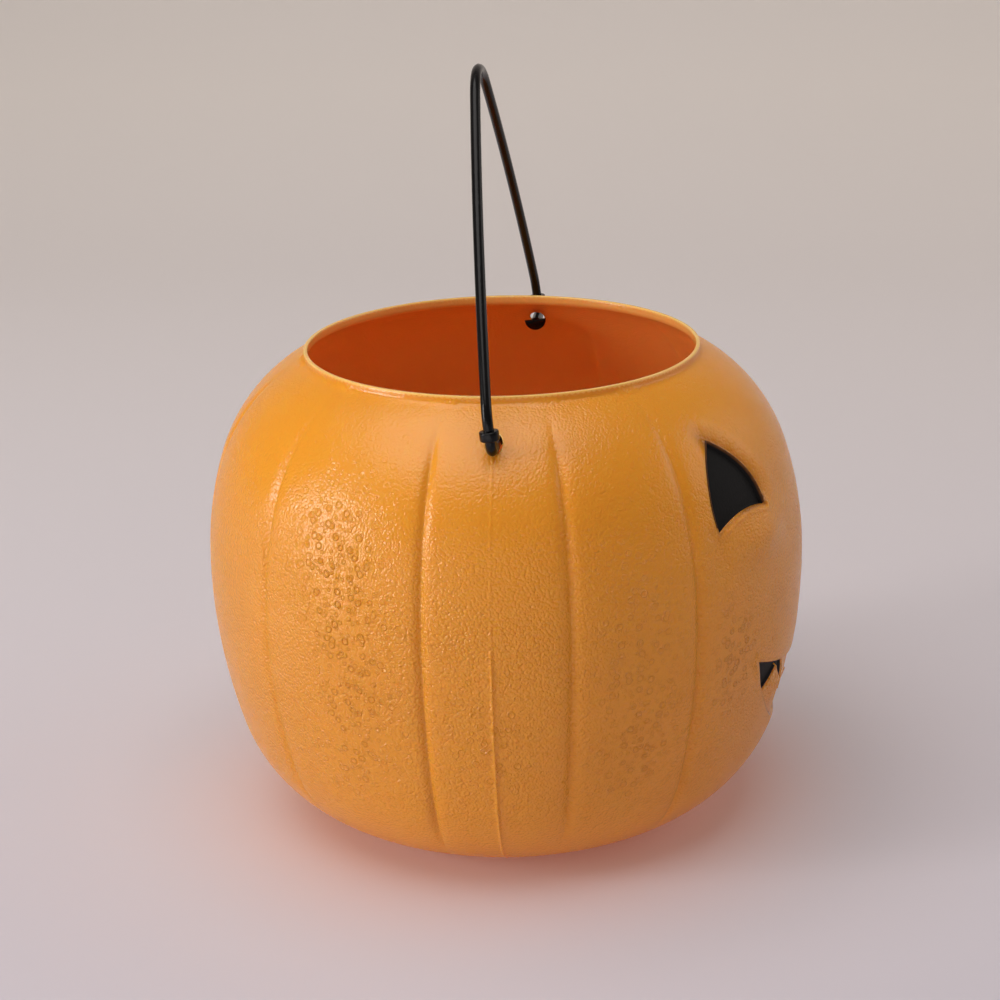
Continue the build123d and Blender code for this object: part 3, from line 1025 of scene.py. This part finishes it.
def paint_film(name, bound):
    """Film over the floor and walls of one recess, a closed sheet that follows the moulded skin."""
    slack = 0.02
    distance = face[name]
    painted = distance <= bound + slack
    triangles = skin_triangles[painted[skin_triangles].all(1)]
    a, b, c = (skin[triangles[:, i]] for i in range(3))
    normal = np.zeros_like(skin)
    for i in range(3):
        np.add.at(normal, triangles[:, i], np.cross(b - a, c - a))
    normal /= np.maximum(np.linalg.norm(normal, axis=1), 1e-9)[:, None]
    film = Builder()
    # the brown edge line, worn paint and a painted highlight, swells by distance from the recess
    wear = swell(distance, *paint_wear)
    film.add_points(skin + paint_thickness * normal, wear=wear)
    under = film.add_points(skin - paint_thickness * normal, wear=wear)
    film.add_faces(triangles)
    film.add_faces(triangles[:, ::-1] + under[0])
    # a triangle's side that no other shares is on the film's edge
    sides = np.concatenate((triangles[:, :2], triangles[:, 1:], triangles[:, [2, 0]]))
    _, where, count = np.unique(np.sort(sides, 1), axis=0, return_inverse=True, return_counts=True)
    for i, j in sides[count[where.ravel()] == 1]:
        film.add_faces([(j, i, under[i], under[j])])
    piece = film.make(name + "_paint_film", paint)
    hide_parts(name + "_paint")
    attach(piece, "pail")
    return piece


def eye_paint_bound():
    """Paint runs over the brow side of an eye, and stops on the floor along its arched lower edge."""
    across, height = np.abs(skin[:, 0]), skin[:, 2]
    share = np.clip((across + eye_inner[0]) / (eye_inner[0] - eye_outer[0]), 0, 1)
    lower = eye_inner[1] + share * (eye_outer[1] - eye_inner[1]) + 4 * eye_bows[1] * share * (1 - share)
    rise = height - lower
    return np.select([rise < eye_bare_floor, rise < eye_bare_wall], [-eye_wall / 2, 0.0], paint_edge)


films = [paint_film(name, eye_paint_bound()) for name in ("left_eye", "right_eye")]
films += [paint_film(name, -eye_wall / 2) for name in ("nose", "mouth")]


# Bail

def arc(centre, radius, first, last, count):
    """Points along an arc from one angle to another."""
    turn = np.linspace(first, last, count)
    return np.array(centre) + radius * np.c_[np.cos(turn), np.sin(turn)]


def bail_route():
    """Middle line of the bail's right half in its own plane: across and up from the pivot axis."""
    bend_centre = (leg_x - leg_bend_radius, leg_upright)
    crown_centre = (0, bail_height - crown_radius)
    reach = (bend_centre[0], crown_centre[1] - bend_centre[1])
    straight = acos((leg_bend_radius - crown_radius) / hypot(*reach)) - atan2(*reach)
    crown_turn = pi / 2 - straight + side_bow
    crown_end = (crown_radius * cos(crown_turn), crown_centre[1] + crown_radius * sin(crown_turn))
    gap = (crown_end[0] - bend_centre[0], crown_end[1] - bend_centre[1])
    gap_out = gap[0] * cos(crown_turn) + gap[1] * sin(crown_turn)
    side_radius = (hypot(*gap) ** 2 - leg_bend_radius**2) / (2 * (gap_out - leg_bend_radius))
    side_centre = (crown_end[0] - side_radius * cos(crown_turn), crown_end[1] - side_radius * sin(crown_turn))
    bend_turn = atan2(bend_centre[1] - side_centre[1], bend_centre[0] - side_centre[0])
    return np.concatenate((
        np.c_[np.linspace(head_x - head_thickness / 2, leg_x - elbow_radius, 8)[:-1], np.zeros(7)],
        arc((leg_x - elbow_radius, elbow_radius), elbow_radius, -pi / 2, 0, 12)[:-1],
        np.c_[np.full(5, leg_x), np.linspace(elbow_radius, leg_upright, 6)[:-1]],
        arc(bend_centre, leg_bend_radius, 0, bend_turn, 14)[:-1],
        arc(side_centre, side_radius, bend_turn, crown_turn, 60)[:-1],
        arc(crown_centre, crown_radius, crown_turn, pi / 2, 24),
    ))


bail_up = np.array((0, sin(bail_lean), cos(bail_lean)))
bail_out = np.array((0, -cos(bail_lean), sin(bail_lean)))
pivot = np.array((0, parting_y, pivot_height))


def in_bail(across, up, out):
    """Places given across, up and out of the bail's plane."""
    return pivot + np.outer(across, (1, 0, 0)) + np.outer(up, bail_up) + np.outer(out, bail_out)


def rod_rings():
    """Rings along the rod from end to end, thicker through the wall. The mould halves left a fine ridge along
    its inner and outer sides."""
    right = bail_route()
    route = np.concatenate((right, right[-2::-1] * (-1, 1)))
    ahead = np.gradient(route, axis=0)
    ahead /= np.hypot(*ahead.T)[:, None]
    left = np.c_[-ahead[:, 1], ahead[:, 0]]
    turn = np.linspace(0, 2 * pi, rod_sides, endpoint=False)
    ridges = bell(turn_gap(turn, 0) / rod_ridge_width) + bell(turn_gap(turn, pi) / rod_ridge_width)
    ridged = rod_radius + rod_ridge_height * ridges
    neck_end = leg_x - elbow_radius
    rings = []
    for place, side in zip(route, left):
        on_axis = place[1] < 1
        neck = ramp(abs(place[0]), neck_end, neck_end - neck_taper) if on_axis else 0
        radius = ridged * (1 - neck) + neck_radius * neck
        flat = place + np.outer(radius * np.cos(turn), side)
        rings.append(in_bail(flat[:, 0], flat[:, 1], radius * np.sin(turn)))
    return rings


def collar_rings(side):
    """Stop collar on the leg, outside the shell, with rolled edges."""
    turn = np.linspace(0, 2 * pi, collar_sides, endpoint=False)
    half, flat, bore = collar_height / 2, collar_radius - collar_edge, rod_radius * 0.8
    quarter = np.linspace(0, pi / 2, 5)
    profile = [(bore, -half)]
    profile += [(flat + collar_edge * sin(a), -half + collar_edge - collar_edge * cos(a)) for a in quarter]
    profile += [(flat + collar_edge * cos(a), half - collar_edge + collar_edge * sin(a)) for a in quarter]
    profile += [(bore, half)]
    return [
        in_bail(side * leg_x + radius * np.cos(turn), collar_rise + up, radius * np.sin(turn))
        for radius, up in profile
    ]


def head_rings(side):
    """Retaining head inside the shell: half a disc with its flat upwards and its edges rolled."""
    half = head_width / 2
    middle = head_top - half * head_middle
    turn = np.linspace(-pi, 0, 25)
    flat = np.linspace(half, -half, 9)[1:-1]
    out = np.r_[half * np.cos(turn), flat]
    up = np.r_[head_top + half * np.sin(turn), np.full(len(flat), head_top)]
    steps = [*head_edge, *((shrink, head_thickness - depth) for shrink, depth in head_edge[::-1])]
    return [
        in_bail(side * (head_x - depth), middle + (up - middle) * shrink, out * shrink)
        for shrink, depth in steps
    ]


bail = Builder()
bail.add_tube(rod_rings())
for side in (-1, 1):
    bail.add_tube(collar_rings(side))
    bail.add_tube(head_rings(side))
bail_handle = bail.make("bail_handle_moulding", polypropylene)
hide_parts("bail_handle")
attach(bail_handle, "bail")


# Studio, in metres: a pale sweep, soft light from the upper left and from overhead, and weak fill

def make_sweep():
    """Board that lies flat under the pail and curls up behind it."""
    near, far, curl, tall, half = -9.0, 2.6, 1.7, 3.4, 9.0
    line = [(near, 0.0), (far - curl, 0.0)]
    line += [(far - curl + curl * sin(a), curl - curl * cos(a)) for a in np.linspace(0, pi / 2, 40)[1:]]
    line += [(far, tall)]
    sweep = bpy.data.meshes.new("studio_sweep")
    points = [(x, y, z) for x, z in line for y in (-half, half)]
    sweep.from_pydata(points, [], [(2 * i, 2 * i + 2, 2 * i + 3, 2 * i + 1) for i in range(len(line) - 1)])
    sweep.shade_smooth()
    sweep.materials.append(board)
    stage = bpy.data.objects.new("studio_sweep", sweep)
    bpy.context.scene.collection.objects.link(stage)


def soft_light(name, place, aim, size, power, colour, spread=180):
    """An oval lamp that points from a place at an aim."""
    lamp = bpy.data.lights.new(name, "AREA")
    lamp.shape = "ELLIPSE"
    lamp.size, lamp.size_y = size
    lamp.energy = power
    lamp.spread = radians(spread)
    lamp.color = linear(colour)[:3]
    lit = bpy.data.objects.new(name, lamp)
    lit.location = place
    lit.rotation_euler = (Vector(aim) - Vector(place)).to_track_quat("-Z", "Y").to_euler()
    bpy.context.scene.collection.objects.link(lit)


make_sweep()
soft_light("window", (-0.68, 1.5, 0.4), (0, 0, 0.12), (0.45, 0.95), 13, "#fffaf8")
soft_light("overhead", (-0.35, 0.3, 1.9), (0, 0, 0.1), (2.2, 2.2), 28, "#fffbf8")
soft_light("far_side", (0.5, -1.7, 0.8), (0, 0, 0.1), (1.6, 1.2), 5, "#fff8f4")
soft_light("front_card", (-0.50, 0.1, 0.02), (0, 0, 0.05), (0.7, 0.3), 0.25, "#fffaf8", 120)

world = bpy.data.worlds.new("soft_room")
world.use_nodes = True
world.node_tree.nodes["Background"].inputs["Color"].default_value = linear("#f3eeec")
world.node_tree.nodes["Background"].inputs["Strength"].default_value = 0.2
bpy.context.scene.world = world
bpy.context.scene.view_settings.view_transform = "Standard"

# Camera, where the photograph was taken from

camera = bpy.data.cameras.new("camera")
camera.sensor_width = 36.0
camera.lens = 79.31
camera.clip_start, camera.clip_end = 0.01, 20.0
view = bpy.data.objects.new("camera", camera)
view_right = Vector((0.09961, -0.99479, -0.02149))
view_up = Vector((0.32353, 0.01196, 0.94614))
view_ahead = Vector((0.94096, 0.10119, -0.32303))
view_place = Vector((-0.80002, -0.08410, 0.39421))
turned = Matrix((view_right, view_up, -view_ahead)).transposed().to_4x4()
view.matrix_world = Matrix.Translation(view_place) @ turned
bpy.context.scene.collection.objects.link(view)
bpy.context.scene.camera = view
